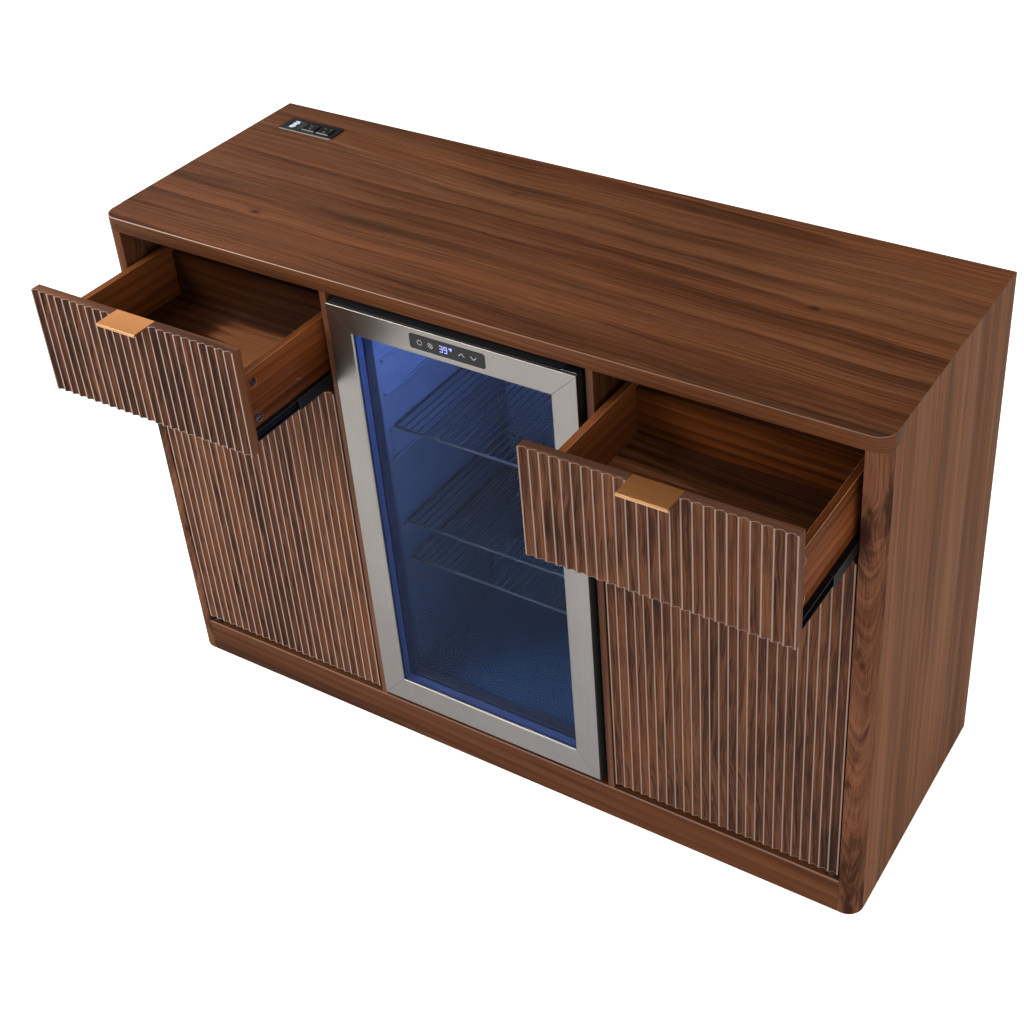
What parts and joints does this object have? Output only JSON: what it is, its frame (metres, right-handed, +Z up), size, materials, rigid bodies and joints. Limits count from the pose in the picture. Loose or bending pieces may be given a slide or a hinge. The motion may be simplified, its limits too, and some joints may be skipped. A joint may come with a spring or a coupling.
{
  "type": "coffee bar cabinet with built-in beverage fridge",
  "caption": "Walnut coffee bar cabinet with fluted doors and drawers, a glass-door beverage fridge in its middle bay and a power outlet in the worktop.",
  "frame": {"origin": "on the floor, at the centre of the cabinet footprint with the drawers shut", "axes": "+X to the right as seen from the front, +Y to the back, +Z up; the front faces -Y"},
  "size_m": [1.4, 0.716, 0.959],
  "materials": {
    "worktop_veneer": "satin walnut veneer, grain along X",
    "side_veneer": "satin walnut veneer, grain upright",
    "post_wood": "satin figured walnut",
    "inner_veneer": "satin walnut-look inner faces",
    "back_board": "matt walnut-look board",
    "rail_veneer": "satin walnut veneer, grain along X",
    "drawer_veneer": "semi-gloss warm walnut",
    "fluted_walnut": "satin fluted walnut with paler ridges",
    "zinc_steel": "zinc-plated steel",
    "black_steel": "black zinc, slight sheen",
    "grey_plastic": "moulded grey",
    "outlet_black": "black plastic",
    "case_black": "black painted sheet",
    "foam": "rigid foam",
    "liner_blue": "dark moulded liner under blue light",
    "rack_wire": "plated wire",
    "coil_aluminium": "mill finish",
    "lamp_lens": "milky lens",
    "compressor_black": "black enamel",
    "soft_rubber": "matt black rubber",
    "stainless": "fine brushed",
    "door_black": "black moulded",
    "clear_glass": "clear double glazing",
    "display_black": "black glass-like panel",
    "brass": "brushed brass"
  },
  "bodies": {
    "cabinet": {"adjustable_shelves": "inner_veneer", "back_panels": "back_board", "base_front_rail": "rail_veneer", "bottom_panel": "inner_veneer", "compressor": "compressor_black", "compressor_mounts": "soft_rubber", "corner_posts": "post_wood", "dividers": "inner_veneer", "drawer_bay_floors": "inner_veneer", "evaporator_coil": "coil_aluminium", "evaporator_cover": "liner_blue", "fan_motor": "case_black", "fridge_case": "case_black", "fridge_hinges": "black_steel", "fridge_insulation": "foam", "fridge_liner": "liner_blue", "fridge_rear_grille": "case_black", "inner_rails": "inner_veneer", "interior_lamp": "lamp_lens", "levelling_feet": "grey_plastic", "outlet_bezel": "outlet_black", "outlet_housing": "outlet_black", "outlet_inserts": "outlet_black", "pivot_brackets": "zinc_steel", "power_gland": "soft_rubber", "push_latch_bodies": "grey_plastic", "runner_spacers": "inner_veneer", "shelf_pins": "zinc_steel", "side_panels": "side_veneer", "slide_cabinet_members": "black_steel", "top_panel": "worktop_veneer", "wire_racks": "rack_wire"},
    "drawer_left": {"drawer_left_front": "fluted_walnut", "drawer_left_sides": "drawer_veneer", "drawer_left_back": "drawer_veneer", "drawer_left_floor": "drawer_veneer", "drawer_left_pull": "brass", "drawer_left_cam_locks": "black_steel", "drawer_left_slide_members": "black_steel"},
    "drawer_right": {"drawer_right_front": "fluted_walnut", "drawer_right_sides": "drawer_veneer", "drawer_right_back": "drawer_veneer", "drawer_right_floor": "drawer_veneer", "drawer_right_pull": "brass", "drawer_right_cam_locks": "black_steel", "drawer_right_slide_members": "black_steel"},
    "slide_left": {"slide_middle_members_left": "black_steel"},
    "slide_right": {"slide_middle_members_right": "black_steel"},
    "door_left": {"door_left": "fluted_walnut"},
    "door_right": {"door_right": "fluted_walnut"},
    "plunger_left": {"latch_plunger_left": "grey_plastic"},
    "plunger_right": {"latch_plunger_right": "grey_plastic"},
    "fridge_door": {"fridge_door_frame": "stainless", "fridge_door_core": "door_black", "fridge_door_gasket": "soft_rubber", "fridge_glass_panes": "clear_glass", "fridge_glass_spacer": "coil_aluminium", "control_panel": "display_black"},
    "fan": {"fan_rotor": "grey_plastic"}
  },
  "joints": [
    {"name": "drawer_left_slide", "type": "slide", "parent": "cabinet", "child": "drawer_left", "axis": [0, -1, 0], "range_m": [-0.2, 0.05]},
    {"name": "drawer_right_slide", "type": "slide", "parent": "cabinet", "child": "drawer_right", "axis": [0, -1, 0], "range_m": [-0.2, 0.05]},
    {"name": "slide_left_run", "type": "slide", "parent": "cabinet", "child": "slide_left", "axis": [0, -1, 0], "range_m": [-0.1, 0.025]},
    {"name": "slide_right_run", "type": "slide", "parent": "cabinet", "child": "slide_right", "axis": [0, -1, 0], "range_m": [-0.1, 0.025]},
    {"name": "door_left_hinge", "type": "hinge", "parent": "cabinet", "child": "door_left", "pos_m": [-0.649, -0.235, 0.4], "axis": [0, 0, -1], "range_deg": [0, 100]},
    {"name": "door_right_hinge", "type": "hinge", "parent": "cabinet", "child": "door_right", "pos_m": [0.649, -0.235, 0.4], "axis": [0, 0, 1], "range_deg": [0, 100]},
    {"name": "latch_left_push", "type": "slide", "parent": "cabinet", "child": "plunger_left", "axis": [0, 1, 0], "range_m": [0, 0.003], "stiffness_N_per_m": 200},
    {"name": "latch_right_push", "type": "slide", "parent": "cabinet", "child": "plunger_right", "axis": [0, 1, 0], "range_m": [0, 0.003], "stiffness_N_per_m": 200},
    {"name": "fridge_door_hinge", "type": "hinge", "parent": "cabinet", "child": "fridge_door", "pos_m": [0.214, -0.243, 0.5], "axis": [0, 0, 1], "range_deg": [0, 90]},
    {"name": "fan_spin", "type": "hinge", "parent": "cabinet", "child": "fan", "pos_m": [0, 0.1332, 0.8], "axis": [0, 1, 0], "continuous": true}
  ],
  "couplings": [
    {"joint": "slide_left_run", "follows": "drawer_left_slide", "ratio": 0.5},
    {"joint": "slide_right_run", "follows": "drawer_right_slide", "ratio": 0.5}
  ]
}
